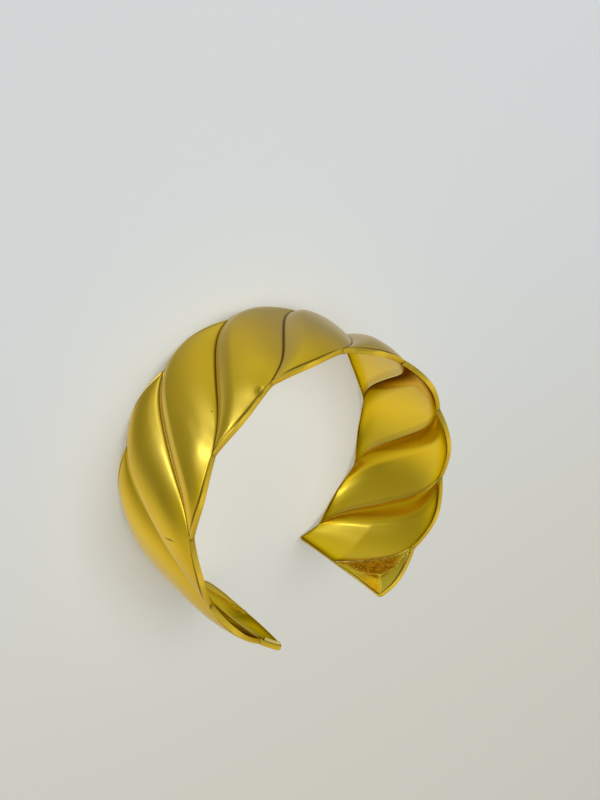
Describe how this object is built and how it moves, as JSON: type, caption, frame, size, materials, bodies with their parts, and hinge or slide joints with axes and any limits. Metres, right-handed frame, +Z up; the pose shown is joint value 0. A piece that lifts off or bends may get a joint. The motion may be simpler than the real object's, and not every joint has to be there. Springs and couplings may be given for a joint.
{
  "type": "cuff bangle",
  "caption": "Open C-shaped cuff bangle in gold-tone sheet metal, its wide band parted by slanting S-shaped grooves into domed lobes, with scalloped edges and straight ends.",
  "frame": {"origin": "on the floor under the middle of the cuff's box, which is 1.3 mm behind the centre of its round plan", "axes": "+Z up along the axis of the wrist opening, with the cuff lying on its side; the opening between the ends looks to -Y and the middle of the back to +Y"},
  "size_m": [0.0634, 0.0608, 0.029],
  "materials": {
    "gold_tone_metal": "gold-tone plating, part satin and part polished, slightly worn"
  },
  "bodies": {
    "root": {"cuff": "gold_tone_metal"}
  },
  "joints": []
}
